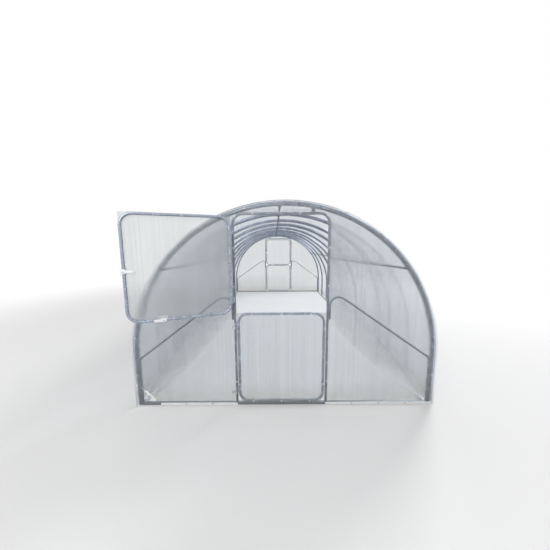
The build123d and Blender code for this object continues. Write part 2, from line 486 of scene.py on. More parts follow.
class ZincSpangle(Effect):
    """Crystals of a hot-dip zinc coat, with fine runs in it."""

    name = "zinc_spangle"
    inputs = {"Crystals per metre": 90.0, "Contrast": 0.35}
    outputs = ("Shade", "Height")
    clouds_per_metre = 9.0
    grains_per_metre = 400.0
    crystal_share = 0.45
    cloud_share = 0.75
    mean_shade = 0.6

    @classmethod
    def fill(cls, graph: Graph, given: dict[str, Socket]) -> dict[str, Socket]:
        """Give each crystal a random shade, softened by noise.

        Args:
            graph: Nodes of the group.
            given: Its inputs.

        Returns:
            Its outputs.
        """
        where = graph.object_point()
        cells = graph.add("ShaderNodeTexVoronoi", {"Vector": where, "Scale": given["Crystals per metre"]})
        crystal = graph.add("ShaderNodeSeparateColor", {0: cells.outputs["Color"]}).outputs[0]
        cloud = graph.noise(where, cls.clouds_per_metre)
        mixed = graph.math("ADD", graph.math("MULTIPLY", crystal, cls.crystal_share),
                           graph.math("MULTIPLY", cloud, cls.cloud_share))
        centred = graph.math("SUBTRACT", mixed, cls.mean_shade)
        shade = graph.math("ADD", graph.math("MULTIPLY", centred, given["Contrast"]), 0.5)
        height = graph.math("ADD", crystal, graph.noise(where, cls.grains_per_metre))
        return {"Shade": shade, "Height": height}


class Weather(Effect):
    """Dust that gathers near the ground, and marks where rain ran down."""

    name = "weather"
    inputs = {"Splash height": 0.25, "Amount": 0.6, "Run width": 0.02}
    outputs = ("Dust", "Runs")
    edge_waves_per_metre = 6.0
    edge_wave = 0.16
    clouds_per_metre = 16.0
    cloud_range = (0.3, 0.75)
    run_stretch = 0.03
    run_range = (0.5, 0.75)

    @classmethod
    def fill(cls, graph: Graph, given: dict[str, Socket]) -> dict[str, Socket]:
        """Fade the dust with height, and make the runs from stretched noise.

        Args:
            graph: Nodes of the group.
            given: Its inputs.

        Returns:
            Its outputs.
        """
        where = graph.object_point()
        height = graph.add("ShaderNodeSeparateXYZ", {0: where}).outputs["Z"]
        waves = graph.math("MULTIPLY", graph.noise(where, cls.edge_waves_per_metre), -cls.edge_wave)
        below = graph.math("SUBTRACT", given["Splash height"], graph.math("ADD", height, waves))
        near = graph.spread(below, 0.0, given["Splash height"])
        clouds = graph.spread(graph.noise(where, cls.clouds_per_metre, detail=4.0), *cls.cloud_range)
        dust = graph.math("MULTIPLY", graph.math("MULTIPLY", near, given["Amount"]),
                          graph.math("MULTIPLY_ADD", clouds, 0.5, 0.5))
        runs_per_metre = graph.math("DIVIDE", 1.0, given["Run width"])
        along = graph.noise(graph.stretched(where, cls.run_stretch), runs_per_metre, detail=2.0)
        runs = graph.math("MULTIPLY", graph.spread(along, *cls.run_range), given["Amount"])
        return {"Dust": dust, "Runs": runs}


class Flutes(Effect):
    """Webs of a twin-wall sheet, the waves of its skins, and an uneven shade from flute to flute."""

    name = "flutes"
    inputs = {"Across": 0.0, "Pitch": 0.006, "Web share": 0.12}
    outputs = ("Web", "Wave", "Streak")

    @classmethod
    def fill(cls, graph: Graph, given: dict[str, Socket]) -> dict[str, Socket]:
        """Draw a line at each web, a sine wave between webs, and a random shade for each pair of flutes.

        Args:
            graph: Nodes of the group.
            given: Its inputs.

        Returns:
            Its outputs.
        """
        turns = graph.math("DIVIDE", given["Across"], given["Pitch"])
        beside = graph.math("ABSOLUTE", graph.math("SUBTRACT", graph.math("FRACT", turns), 0.5))
        half_web = graph.math("MULTIPLY", given["Web share"], 0.5)
        web = graph.math("GREATER_THAN", beside, graph.math("SUBTRACT", 0.5, half_web))
        wave = graph.math("SINE", graph.math("MULTIPLY", turns, 2 * pi))
        pair = graph.math("FLOOR", graph.math("DIVIDE", turns, 2.0))
        streak = graph.add("ShaderNodeTexWhiteNoise", {"W": pair}, noise_dimensions="1D").outputs["Value"]
        return {"Web": web, "Wave": graph.math("MULTIPLY_ADD", wave, 0.5, 0.5), "Streak": streak}


class Handling(Effect):
    """Fine scuffs and blotches from handling."""

    name = "handling"
    inputs = {"Scale": 60.0, "Amount": 0.5}
    outputs = ("Scuff", "Blotch")
    scuff_stretch = 0.18
    scuff_range = (0.56, 0.66)
    blotches_per_metre = 4.0
    blotch_range = (0.35, 0.75)

    @classmethod
    def fill(cls, graph: Graph, given: dict[str, Socket]) -> dict[str, Socket]:
        """Make short scuffs from a stretched noise and soft blotches from a low one.

        Args:
            graph: Nodes of the group.
            given: Its inputs.

        Returns:
            Its outputs.
        """
        where = graph.object_point()
        along = graph.noise(graph.stretched(where, cls.scuff_stretch), given["Scale"], detail=6.0)
        scuffs = graph.spread(along, *cls.scuff_range)
        blotch = graph.spread(graph.noise(where, cls.blotches_per_metre), *cls.blotch_range)
        return {"Scuff": graph.math("MULTIPLY", scuffs, given["Amount"]), "Blotch": blotch}


@dataclass(frozen=True)
class Finish:
    """Base of all finishes: one material, made once, with the wear that all of them have."""

    name: str
    roughness: float
    dust: float
    run_width: float
    scuffs_per_metre: float
    splash_height: float = 0.2
    scuffing: float = 0.5
    slot: Slot = Slot.STEEL

    def material(self) -> bpy.types.Material:
        """Make the material at its first use.

        Returns:
            The material of this finish.
        """
        made = bpy.data.materials.get(self.name)
        if made is None:
            made = bpy.data.materials.new(self.name)
            graph = Graph.of(made)
            shader = graph.add("ShaderNodeBsdfPrincipled")
            graph.add("ShaderNodeOutputMaterial", {"Surface": shader.outputs[0]})
            graph.feed(shader, self.paint(graph, self.wear(graph)))
        return made

    def wear(self, graph: Graph) -> dict[str, Socket]:
        """Place the groups for weather and handling.

        Args:
            graph: Nodes of the material.

        Returns:
            Their masks, by name.
        """
        weather = Weather.place(graph, {"Splash height": self.splash_height, "Amount": self.dust,
                                        "Run width": self.run_width})
        handling = Handling.place(graph, {"Scale": self.scuffs_per_metre, "Amount": self.scuffing})
        return {mask.name: mask for group in (weather, handling) for mask in group.outputs}

    def paint(self, graph: Graph, wear: dict[str, Socket]) -> Values:
        """Give the inputs of the shader; each kind of finish has its own."""
        raise NotImplementedError


@dataclass(frozen=True)
class ZincFinish(Finish):
    """Galvanised or zinc-plated steel."""

    roughness: float = 0.28
    dust: float = 0.35
    splash_height: float = 0.14
    run_width: float = 0.03
    scuffs_per_metre: float = 38.0
    scuffing: float = 0.12
    light: Colour = (0.29, 0.325, 0.39)
    dark: Colour = (0.19, 0.215, 0.26)
    bloom: Colour = (0.38, 0.41, 0.46)
    soil: Colour = (0.19, 0.14, 0.095)
    metallic: float = 0.55
    crystals: float = 150.0
    contrast: float = 0.4
    shade_range: tuple[float, float] = (0.2, 0.8)
    scuff_dulls: float = 0.25
    crystal_dulls: float = 0.12
    dust_dulls: float = 0.4
    relief: float = 0.00006
    relief_strength: float = 0.6

    def paint(self, graph: Graph, wear: dict[str, Socket]) -> Values:
        """Paint crystals, dull bloom spots and dust, over a fine relief.

        Args:
            graph: Nodes of the material.
            wear: Its wear masks.

        Returns:
            Inputs of the shader.
        """
        values = {"Crystals per metre": self.crystals, "Contrast": self.contrast}
        spangle = ZincSpangle.place(graph, values).outputs
        shade = graph.spread(spangle["Shade"], *self.shade_range)
        colour = graph.layered(self.dark, (shade, 1.0, self.light), (wear["Scuff"], 1.0, self.bloom),
                               (wear["Dust"], 1.0, self.soil))
        centred = graph.math("SUBTRACT", shade, 0.5)
        rough = graph.raised(self.roughness, (wear["Scuff"], self.scuff_dulls), (centred, self.crystal_dulls),
                             (wear["Dust"], self.dust_dulls))
        normal = graph.bump(spangle["Height"], Distance=self.relief, Strength=self.relief_strength)
        return {"Base Color": colour, "Metallic": self.metallic, "Roughness": rough, "Normal": normal}


@dataclass(frozen=True)
class SheetFinish(Finish):
    """Twin-wall polycarbonate."""

    slot: Slot = Slot.SHEET
    roughness: float = 0.08
    dust: float = 0.4
    run_width: float = 0.012
    scuffs_per_metre: float = 22.0
    scuffing: float = 0.2
    run: FluteRun = FluteRun.UPRIGHT
    turn: float = 0.0
    tint: Colour = (0.78, 0.80, 0.81)
    web_tone: Colour = (0.60, 0.62, 0.63)
    streak_tone: Colour = (0.55, 0.57, 0.58)
    aged_tone: Colour = (0.72, 0.74, 0.74)
    rain_tone: Colour = (0.52, 0.54, 0.54)
    soil: Colour = (0.60, 0.58, 0.50)
    clear: float = 0.94
    bend: float = 1.25
    pitch: float = 0.006
    web_share: float = 0.12
    web: float = 0.5
    streak: float = 0.2
    ageing: float = 0.15
    rain: float = 0.3
    rain_haze: float = 0.05
    scuff_haze: float = 0.06
    dust_haze: float = 0.08
    wave: float = 0.0006
    lamp_pass: float = 0.6

    def paint(self, graph: Graph, wear: dict[str, Socket]) -> Values:
        """Paint webs, waves, rain marks and dust, and let the lamps shine through.

        Args:
            graph: Nodes of the material.
            wear: Its wear masks.

        Returns:
            Inputs of the shader.
        """
        values = {"Vector": graph.object_point(), "Rotation": (0.0, 0.0, self.turn)}
        turned = graph.add("ShaderNodeMapping", values).outputs[0]
        across = graph.add("ShaderNodeSeparateXYZ", {0: turned}).outputs[self.run.value]
        values = {"Across": across, "Pitch": self.pitch, "Web share": self.web_share}
        flutes = Flutes.place(graph, values).outputs
        colour = graph.layered(self.tint, (flutes["Web"], self.web, self.web_tone),
                               (flutes["Streak"], self.streak, self.streak_tone),
                               (wear["Blotch"], self.ageing, self.aged_tone),
                               (wear["Runs"], self.rain, self.rain_tone), (wear["Dust"], 1.0, self.soil))
        haze = graph.raised(self.roughness, (wear["Runs"], self.rain_haze), (wear["Scuff"], self.scuff_haze),
                            (wear["Dust"], self.dust_haze))
        normal = graph.bump(flutes["Wave"], Distance=self.wave)
        lamp = graph.add("ShaderNodeLightPath").outputs["Is Shadow Ray"]
        alpha = graph.raised(1.0, (lamp, -self.lamp_pass))
        return {"Base Color": colour, "Roughness": haze, "Normal": normal, "Alpha": alpha,
                "Transmission Weight": self.clear, "IOR": self.bend}


@dataclass(frozen=True)
class MouldedFinish(Finish):
    """Moulded plastic or rubber."""

    slot: Slot = Slot.PLASTIC
    roughness: float = 0.38
    dust: float = 0.6
    run_width: float = 0.008
    scuffs_per_metre: float = 90.0
    colour: Colour = (0.86, 0.87, 0.88)
    worn: Colour = (0.70, 0.70, 0.67)
    soil: Colour = (0.22, 0.17, 0.12)
    blotch_grime: float = 0.3
    rain_grime: float = 0.4
    scuff_dulls: float = 0.3
    grain: float = 0.00004
    grain_strength: float = 0.5
    grains_per_metre: float = 2500.0

    def paint(self, graph: Graph, wear: dict[str, Socket]) -> Values:
        """Paint grime and dust over a fine moulding grain.

        Args:
            graph: Nodes of the material.
            wear: Its wear masks.

        Returns:
            Inputs of the shader.
        """
        grime = graph.raised(0.0, (wear["Blotch"], self.blotch_grime), (wear["Runs"], self.rain_grime))
        colour = graph.layered(self.colour, (grime, 1.0, self.worn), (wear["Dust"], 1.0, self.soil))
        rough = graph.raised(self.roughness, (wear["Scuff"], self.scuff_dulls))
        grain = graph.noise(graph.object_point(), self.grains_per_metre)
        normal = graph.bump(grain, Distance=self.grain, Strength=self.grain_strength)
        return {"Base Color": colour, "Roughness": rough, "Normal": normal}


STEEL = ZincFinish("galvanised_tube")
# Lighter copy of the galvanised tube for the door leaves' rings: a painted highlight of sky light along their
# tubes.
LEAF_RING_PAINTED_HIGHLIGHT = ZincFinish("leaf_ring_tube_painted_highlight", roughness=0.26, contrast=0.3, dust=0.1,
                       light=(0.40, 0.445, 0.53), dark=(0.28, 0.315, 0.38), bloom=(0.48, 0.52, 0.59))
# Lighter copy of the galvanised tube for the side base rails: painted sunlight and sky highlight on them.
SIDE_RAIL_PAINTED_HIGHLIGHT = ZincFinish("side_rail_tube_painted_highlight", roughness=0.22, dust=0.05,
                       light=(0.66, 0.70, 0.76), dark=(0.50, 0.54, 0.60), bloom=(0.72, 0.75, 0.79))
# Darker copy of the galvanised tube for the purlins: painted shade on them.
PURLIN_PAINTED_SHADE = ZincFinish("purlin_tube_painted_shade", roughness=0.5,
                    light=(0.13, 0.145, 0.17), dark=(0.08, 0.09, 0.105), bloom=(0.2, 0.22, 0.25))
HARDWARE = ZincFinish("plated_hardware", slot=Slot.HARDWARE, roughness=0.26, scuffing=0.3, crystals=400.0,
                      contrast=0.6, relief=0.00003, light=(0.66, 0.68, 0.70), dark=(0.42, 0.44, 0.47))
ROOF_SHEET = SheetFinish("roof_sheet_clear", roughness=0.10, run=FluteRun.OVER_ARCH, tint=(0.87, 0.91, 0.96),
                         clear=0.95, bend=1.03, wave=0.00005, streak=0.3)
GABLE_SHEET = SheetFinish("gable_sheet_clear")
OPEN_LEAF_SHEET = SheetFinish("open_leaf_sheet_clear", roughness=0.2, turn=OPEN_ANGLE, clear=0.88)
STRIP = SheetFinish("strip_clear", run=FluteRun.OVER_ARCH, wave=0.0, clear=0.9)
PROFILE = MouldedFinish("pale_edge_profile", roughness=0.22, dust=0.08,
                        colour=(0.92, 0.93, 0.94), worn=(0.82, 0.84, 0.85))
WHITE = MouldedFinish("white_moulding")
WHITENED = MouldedFinish("whitened_fold", slot=Slot.SHEET, roughness=0.5, dust=0.1,
                         colour=(0.92, 0.93, 0.94), worn=(0.80, 0.83, 0.84))
RUBBER = MouldedFinish("washer_rubber", roughness=0.7, colour=(0.035, 0.035, 0.038), worn=(0.10, 0.10, 0.10))
PLUG = MouldedFinish("dark_plug", roughness=0.5, colour=(0.03, 0.032, 0.036), worn=(0.09, 0.09, 0.09))


@dataclass(frozen=True)
class ArchLine:
    """A line over the house: two upright legs and a half circle between them."""

    radius: float
    spring: float

    def vault(self, angle: float, y: float) -> Spot:
        """Spot on the half circle, at an angle in degrees above the right spring."""
        way = Vector((cos(radians(angle)), 0.0, sin(radians(angle))))
        return Spot(Vector((0.0, y, self.spring)) + way * self.radius, way)

    def leg(self, way: int, height: float, y: float) -> Spot:
        """Spot on the leg of one side, at a height over the ground."""
        return Spot(Vector((way * self.radius, y, height)), TO_RIGHT * way)


@dataclass(frozen=True)
class RoofingScrew:
    """Hexagonal screw head on a steel washer with a rubber pad."""

    pad_radius: float = 0.0085
    pad_height: float = 0.0016
    pad_edge: float = 0.00051
    washer_height: float = 0.0013
    washer_crown: float = 0.66
    head_radius: float = 0.0048
    head_wall: float = 0.0030
    head_top: float = 0.0010
    head_crown: float = 0.84
    sides: int = 12

    def model(self) -> Piece:
        """Model the screw along +Z from the sheet.

        Returns:
            The screw, with its pad's faces on material slot 1.
        """
        pad = add_round(self.pad_radius, 0.0, self.pad_height, self.sides)
        with Editing(pad) as edit:
            edit.pick_facing(UP)
            edit.inset(self.pad_edge)
            edit.crown(self.washer_height, self.washer_crown)
        base = self.pad_height + self.washer_height
        head = add_round(self.head_radius, base, base + self.head_wall, self.sides // 2)
        with Editing(head) as edit:
            edit.pick_facing(UP)
            edit.crown(self.head_top, self.head_crown)
        screw = join([pad, head])
        for empty in (None, None):
            screw.data.materials.append(empty)
        for face in screw.data.polygons:
            face.material_index = int(face.center.z < self.pad_height - TOUCHING)
        return screw


@dataclass(frozen=True)
class PanScrew:
    """Small pan-head screw with a driver recess."""

    radius: float = 0.0042
    height: float = 0.0024
    wall_share: float = 0.55
    crown: float = 0.7
    rim_share: float = 0.32
    recess: float = 0.0012
    sides: int = 12

    def model(self) -> Piece:
        """Model the head along +Z from the plate that it sits on.

        Returns:
            The head.
        """
        wall = self.height * self.wall_share
        head = add_round(self.radius, 0.0, wall, self.sides)
        with Editing(head) as edit:
            edit.pick_facing(UP)
            edit.crown(self.height - wall, self.crown)
            edit.inset(self.radius * self.rim_share)
            edit.extrude(UP * -self.recess)
        return head


@dataclass(frozen=True)
class TubePlug:
    """Moulded plug in the end of a tube, with a rim and two steps of a crown."""

    radius: float
    sunk: float = 0.0002
    rim: float = 0.0016
    steps: tuple[tuple[float, float], ...] = ((0.00132, 0.86), (0.00088, 0.6))
    sides: int = 20

    def model(self) -> Piece:
        """Model the plug along +Z from the tube's end.

        Returns:
            The plug.
        """
        plug = add_round(self.radius, -self.sunk, self.rim, self.sides)
        with Editing(plug) as edit:
            edit.pick_facing(UP)
            for height, share in self.steps:
                edit.crown(height, share)
        return plug


class House:
    """Lines of the house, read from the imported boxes, and the turn to the back gable."""

    def __init__(self) -> None:
        """Read the boxes of the pieces that the others line up with, and the pins of the open leaf."""
        low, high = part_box("arch_01")
        self.spring = high.z - high.x
        self.arch_line = ArchLine(high.x - (high.y - low.y) / 2, self.spring)
        self.roof_line = ArchLine(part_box("roof_sheet_front")[1].x, self.spring)
        arches = sorted(name for name in frame["nodes"] if name.startswith("arch_"))
        self.arch_ys = [sum(corner.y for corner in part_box(name)) / 2 for name in arches]
        self.length = self.arch_ys[0] + self.arch_ys[-1]
        self.seams = [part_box(f"roof_sheet_{name}")[0].y for name in ("middle", "back")]
        low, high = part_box("front_panel_right")
        self.sheet_foot = low.z
        self.sheet_face = low.y
        self.sheet_thickness = high.y - low.y
        joint = next(j for j in frame["joints"] if j["name"] == "front_upper_hinge")
        self.pin = Vector(joint["pos_m"])

    def at_gable(self, end: str) -> Matrix:
        """Matrix that takes a piece of the front gable to the gable of a name."""
        turned = Matrix.Translation((0.0, self.length, 0.0)) @ Matrix.Rotation(pi, 4, "Z")
        return turned if end == "back" else IN_PLACE


@dataclass
class SteelFrame:
    """Arches, purlins, rails, braces and door frames, with their small parts."""

    house: House
    leg_screws: tuple[float, ...] = (0.10, 0.30)
    tail_screws: tuple[float, ...] = (0.940, 0.985)
    brace_screw: PanScrew = PanScrew(radius=0.005, height=0.003)
    plug_gap: float = 0.0001
    ear_reach: float = 0.0192
    ear_drop: float = 0.002
    tail_band: float = 0.0006

    def build(self) -> None:
        """Dress the steel nodes and add plugs and screws."""
        for name in frame["nodes"]:
            if not any(word in name for word in ("sheet", "panel", "leaf", "hinges")):
                dress(name, self.finish(name))
        self.purlin_plugs()
        self.clip_screws()
        for end in ENDS:
            self.brace_parts(end)

    @staticmethod
    def finish(name: str) -> Finish:
        """Choose the finish of a steel node: the purlins get a darker copy with painted shade, the side base
        rails a lighter copy with a painted highlight.

        Args:
            name: The node's name.

        Returns:
            Its finish.
        """
        # Purlins: painted shade; side base rails: painted highlight; all else: plain galvanised tube.
        if "purlin" in name and "clips" not in name:
            return PURLIN_PAINTED_SHADE
        return SIDE_RAIL_PAINTED_HIGHLIGHT if name.startswith("side_base_rail") else STEEL

    @staticmethod
    def purlins() -> list[tuple[Vector, Vector, float]]:
        """Read the three purlins.

        Returns:
            Front end, back end and radius of each.
        """
        found = []
        for name in ("ridge_purlin", "side_purlin_left", "side_purlin_right"):
            low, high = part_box(name)
            middle = (low + high) / 2
            ends = (Vector((middle.x, y, middle.z)) for y in (low.y, high.y))
            found.append((*ends, (high.x - low.x) / 2))
        return found

    def purlin_plugs(self) -> None:
        """Put dark plugs in both ends of the three purlins."""
        spots = []
        for front, back, radius in self.purlins():
            spots.append(Spot(front + TO_FRONT * self.plug_gap, TO_FRONT))
            spots.append(Spot(back - TO_FRONT * self.plug_gap, -TO_FRONT))
        fit("purlin_end_plugs", TubePlug(radius).model(), spots, IN_PLACE, Body.HOUSE, PLUG)

    def clip_screws(self) -> None:
        """Put two screws in the ears of each purlin clip, into the arch above it."""
        spots = []
        for front, _, radius in self.purlins():
            inward = -Vector((front.x, 0.0, front.z - self.house.spring)).normalized()
            along = Vector((inward.z, 0.0, -inward.x))
            for y in self.house.arch_ys:
                ear = Vector((front.x, y, front.z)) - inward * (radius - self.ear_drop)
                spots += [Spot(ear + along * way * self.ear_reach, inward) for way in SIDES.values()]
        fit("purlin_clip_screws", PanScrew().model(), spots, IN_PLACE, Body.HOUSE, HARDWARE)

    def brace_parts(self, end: str) -> None:
        """Plug the brace tails beside the door posts, and put screws through the braces.

        Args:
            end: The gable.
        """
        tails, heads = [], []
        for side, way in SIDES.items():
            low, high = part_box(f"front_brace_{side}")
            radius = (high.y - low.y) / 2
            y = (low.y + high.y) / 2
            x, leg = (high.x - radius, low.x) if side == "left" else (low.x + radius, high.x)
            points = [v.co for v in frame["nodes"][f"front_brace_{side}"].data.vertices]
            tail_end = min(p.z for p in points if abs(p.x - x) < radius + self.tail_band)
            tails.append(Spot(Vector((x, y, tail_end)), -UP))
            outward = TO_RIGHT * way
            heads += [Spot(Vector((x + way * radius, y, z)), outward) for z in self.tail_screws]
            heads += [Spot(Vector((leg - way * 2 * radius, y, z)), -outward) for z in self.leg_screws]
        place = self.house.at_gable(end)
        fit(f"{end}_brace_plugs", TubePlug(radius).model(), tails, place, Body.HOUSE, PLUG)
        fit(f"{end}_brace_screws", self.brace_screw.model(), heads, place, Body.HOUSE, HARDWARE)


@dataclass
class RoofSkin:
    """The bent roof sheets, with seam strips and the screws on each arch."""

    house: House
    strip_width: float = 0.060
    strip_depth: float = 0.0016
    strip_gap: float = 0.0003
    strip_bevel: float = 0.0006
    strip_steps: int = 60
    first_screw: float = 7.5
    screw_step: float = 15.0
    leg_screws: tuple[float, ...] = (0.12, 0.36)
    seam_spread: float = 0.013

    def build(self) -> None:
        """Dress the sheets and add strips and screws."""
        for name in ("front", "middle", "back"):
            dress(f"roof_sheet_{name}", ROOF_SHEET)
        for number, y in enumerate(self.house.seams, start=1):
            self.seam_strip(f"seam_strip_{number}", y)
        self.screws()

    def seam_strip(self, name: str, y: float) -> None:
        """Bend a clear strip over the seam between two sheets.

        Args:
            name: The strip's name.
            y: Where the seam is.
        """
        inner = self.house.roof_line.radius + self.strip_gap
        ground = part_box("roof_sheet_front")[0].z
        spring = self.house.spring
        strip = add_block(Vector((inner, y - self.strip_width / 2, ground)),
                          Vector((inner + self.strip_depth, y + self.strip_width / 2, spring)))
        with Editing(strip) as edit:
            edit.pick_facing(UP)
            bpy.ops.mesh.spin(steps=self.strip_steps, angle=pi, center=(0.0, y, spring), axis=(0.0, 1.0, 0.0))
            edit.pick(lambda centre, normal: centre.x < 0 and abs(centre.z - spring) < TOUCHING)
            edit.extrude(UP * (ground - spring))
        round_edges(strip, self.strip_bevel, segments=2, sharp_angle=50.0)
        hand_over(strip, name, Body.HOUSE, STRIP)

    def screws(self) -> None:
        """Drive roofing screws through the sheets into every arch."""
        spots = []
        count = int((180 - 2 * self.first_screw) / self.screw_step) + 1
        angles = [self.first_screw + self.screw_step * n for n in range(count)]
        proud = ArchLine(self.house.roof_line.radius + self.strip_gap + self.strip_depth, self.house.spring)
        for y in self.house.arch_ys:
            on_seam = any(abs(y - seam) < self.strip_width / 2 for seam in self.house.seams)
            line = proud if on_seam else self.house.roof_line
            for shift in (-self.seam_spread, self.seam_spread) if on_seam else (0.0,):
                spots += [line.vault(angle, y + shift) for angle in angles]
                spots += [line.leg(way, z, y + shift) for way in SIDES.values() for z in self.leg_screws]
        fit("roof_screws", RoofingScrew().model(), spots, IN_PLACE, Body.HOUSE, HARDWARE, RUBBER)


@dataclass
class GableWall:
    """Sheets of one gable, with their edge profiles and screws."""

    house: House
    end: str
    arch_screws: tuple[float, ...] = (7.6, 28.7, 50.8, 75.6)
    post_screws: tuple[float, ...] = (0.26, 0.46, 0.68, 1.25, 1.62)
    lintel_screws: tuple[float, ...] = (-0.30, 0.144)
    leg_screw: float = 0.33
    rail_step: float = 0.28
    rail_height: float = 0.0185
    profile_wall: float = 0.0011
    profile_height: float = 0.0225
    profile_gap: float = 0.0003
    profile_margin: float = 0.006

    def build(self) -> None:
        """Dress the sheets and hinges, and add profiles, screws and the marks at the cut corner."""
        for name in ("panel_left", "panel_right", "panel_over_door"):
            dress(f"{self.end}_{name}", GABLE_SHEET)
        dress(f"{self.end}_hinges", HARDWARE)
        self.profiles()
        self.screws()
        if self.end == "front":
            CornerFold(self.house, self.foot("left")[0]).build()

    def foot(self, side: str) -> tuple[float, float]:
        """Find the lower edge of a sheet beside the doorway.

        Args:
            side: Left or right of the doorway, seen from outside.

        Returns:
            Where the edge starts and ends along X, in the front gable.
        """
        to_front = self.house.at_gable(self.end).inverted()
        points = [to_front @ v.co for v in frame["nodes"][f"{self.end}_panel_{side}"].data.vertices]
        lowest = min(p.z for p in points)
        xs = [p.x for p in points if p.z < lowest + TOUCHING]
        return min(xs), max(xs)

    def profiles(self) -> None:
        """Put a pale channel over the lower edge of both sheets."""
        made = []
        out = self.profile_wall + self.profile_gap
        face, ground = self.house.sheet_face, self.house.sheet_foot
        back = face + self.house.sheet_thickness
        for side in SIDES:
            start, stop = self.foot(side)
            profile = add_block(Vector((start + self.profile_margin, face - out, ground - out)),
                                Vector((stop - self.profile_margin, back, ground + self.profile_height)))
            with Editing(profile) as edit:
                edit.pick_facing(UP)
                edit.inset(self.profile_wall)
                edit.extrude(UP * (-self.profile_height - self.profile_gap))
            made.append(profile)
        profiles = move_by(join(made), self.house.at_gable(self.end))
        hand_over(profiles, f"{self.end}_edge_profiles", Body.HOUSE, PROFILE)

    def screws(self) -> None:
        """Drive roofing screws into the end arch, the posts, the rail over the door and the base rail."""
        face = self.house.sheet_face
        line = self.house.arch_line
        angles = self.arch_screws + tuple(180.0 - angle for angle in self.arch_screws)
        points = [line.vault(angle, face).point for angle in angles]
        points += [line.leg(way, self.leg_screw, face).point for way in SIDES.values()]
        low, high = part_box("front_door_frame")
        radius = (high.y - low.y) / 2
        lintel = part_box("front_panel_over_door")[0].z + radius
        points += [Vector((x, face, z)) for x in (low.x + radius, high.x - radius) for z in self.post_screws]
        points += [Vector((x, face, lintel)) for x in self.lintel_screws]
        for side in SIDES:
            start, stop = self.foot(side)
            count = int((stop - start) / self.rail_step)
            step = (stop - start) / (count + 1)
            points += [Vector((start + step * (n + 1), face, self.rail_height)) for n in range(count)]
        fit(f"{self.end}_gable_screws", RoofingScrew().model(), [Spot(p, TO_FRONT) for p in points],
            self.house.at_gable(self.end), Body.HOUSE, HARDWARE, RUBBER)


@dataclass(frozen=True)
class Crease:
    """A whitened crease in the sheet: where it leaves the cut, its lean in degrees and its reach."""

    along: float
    lean: float
    reach: float
    below: float = 0.006
    half_depth: float = 0.0034
    half_width: float = 0.0016
    even_share: float = 0.3
    tip: tuple[float, float, float] = (1.0, 0.9, 0.1)

    def model(self) -> Piece:
        """Model the crease, thinner towards its tip.

        Returns:
            The crease, placed beside a cut that runs along +X.
        """
        even = self.reach * self.even_share
        crease = add_block(Vector((0.0, -self.half_depth, -self.half_width)),
                           Vector((even, self.half_depth, self.half_width)))
        with Editing(crease) as edit:
            edit.pick_facing(TO_RIGHT)
            edit.extrude(TO_RIGHT * (self.reach - even))
            edit.scale(self.tip, TO_RIGHT * self.reach)
        lean = Matrix.Rotation(radians(self.lean), 4, "Y")
        return move_by(crease, Matrix.Translation((self.along, 0.0, -self.below)) @ lean)


@dataclass
class CornerFold:
    """Whitened edge where the lower corner of the left front sheet is gone, and creases beside it."""

    house: House
    foot_start: float
    start: float = 0.088
    stop: float = 0.205
    half_depth: float = 0.0036
    drop: float = 0.0175
    proud: float = 0.0012
    tapers: tuple[tuple[float, float], ...] = ((1.0, 0.026), (-1.0, 0.022))
    tip: tuple[float, float, float] = (1.0, 0.9, 0.2)
    creases: tuple[Crease, ...] = (Crease(0.115, 80.0, 0.10), Crease(0.150, 93.0, 0.12))
    bevel: float = 0.0005
    side_band: float = 0.001

    def build(self) -> None:
        """Model the edge and its creases along +X, and turn them onto the cut."""
        edge = add_block(Vector((self.start, -self.half_depth, -self.drop)),
                         Vector((self.stop, self.half_depth, self.proud)))
        with Editing(edge) as edit:
            for way, reach in self.tapers:
                edit.pick_facing(TO_RIGHT * way)
                edit.extrude(TO_RIGHT * way * reach)
                edit.scale(self.tip, UP * self.proud)
        fold = join([edge] + [crease.model() for crease in self.creases])
        round_edges(fold, self.bevel, segments=1, sharp_angle=40.0)
        move_by(fold, self.place())
        hand_over(fold, "front_corner_fold", Body.HOUSE, WHITENED)

    def place(self) -> Matrix:
        """Find the cut, from the sheet's lower edge up to its side.

        Returns:
            Matrix from the X axis to the cut, in the middle of the sheet.
        """
        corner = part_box("front_panel_left")[0]
        points = [v.co for v in frame["nodes"]["front_panel_left"].data.vertices]
        rise = min(p.z for p in points if p.x < corner.x + self.side_band) - corner.z
        slope = Matrix.Rotation(-atan(rise / (corner.x - self.foot_start)) + pi, 4, "Y")
        middle = self.house.sheet_face + self.house.sheet_thickness / 2
        return Matrix.Translation((self.foot_start, middle, corner.z)) @ slope


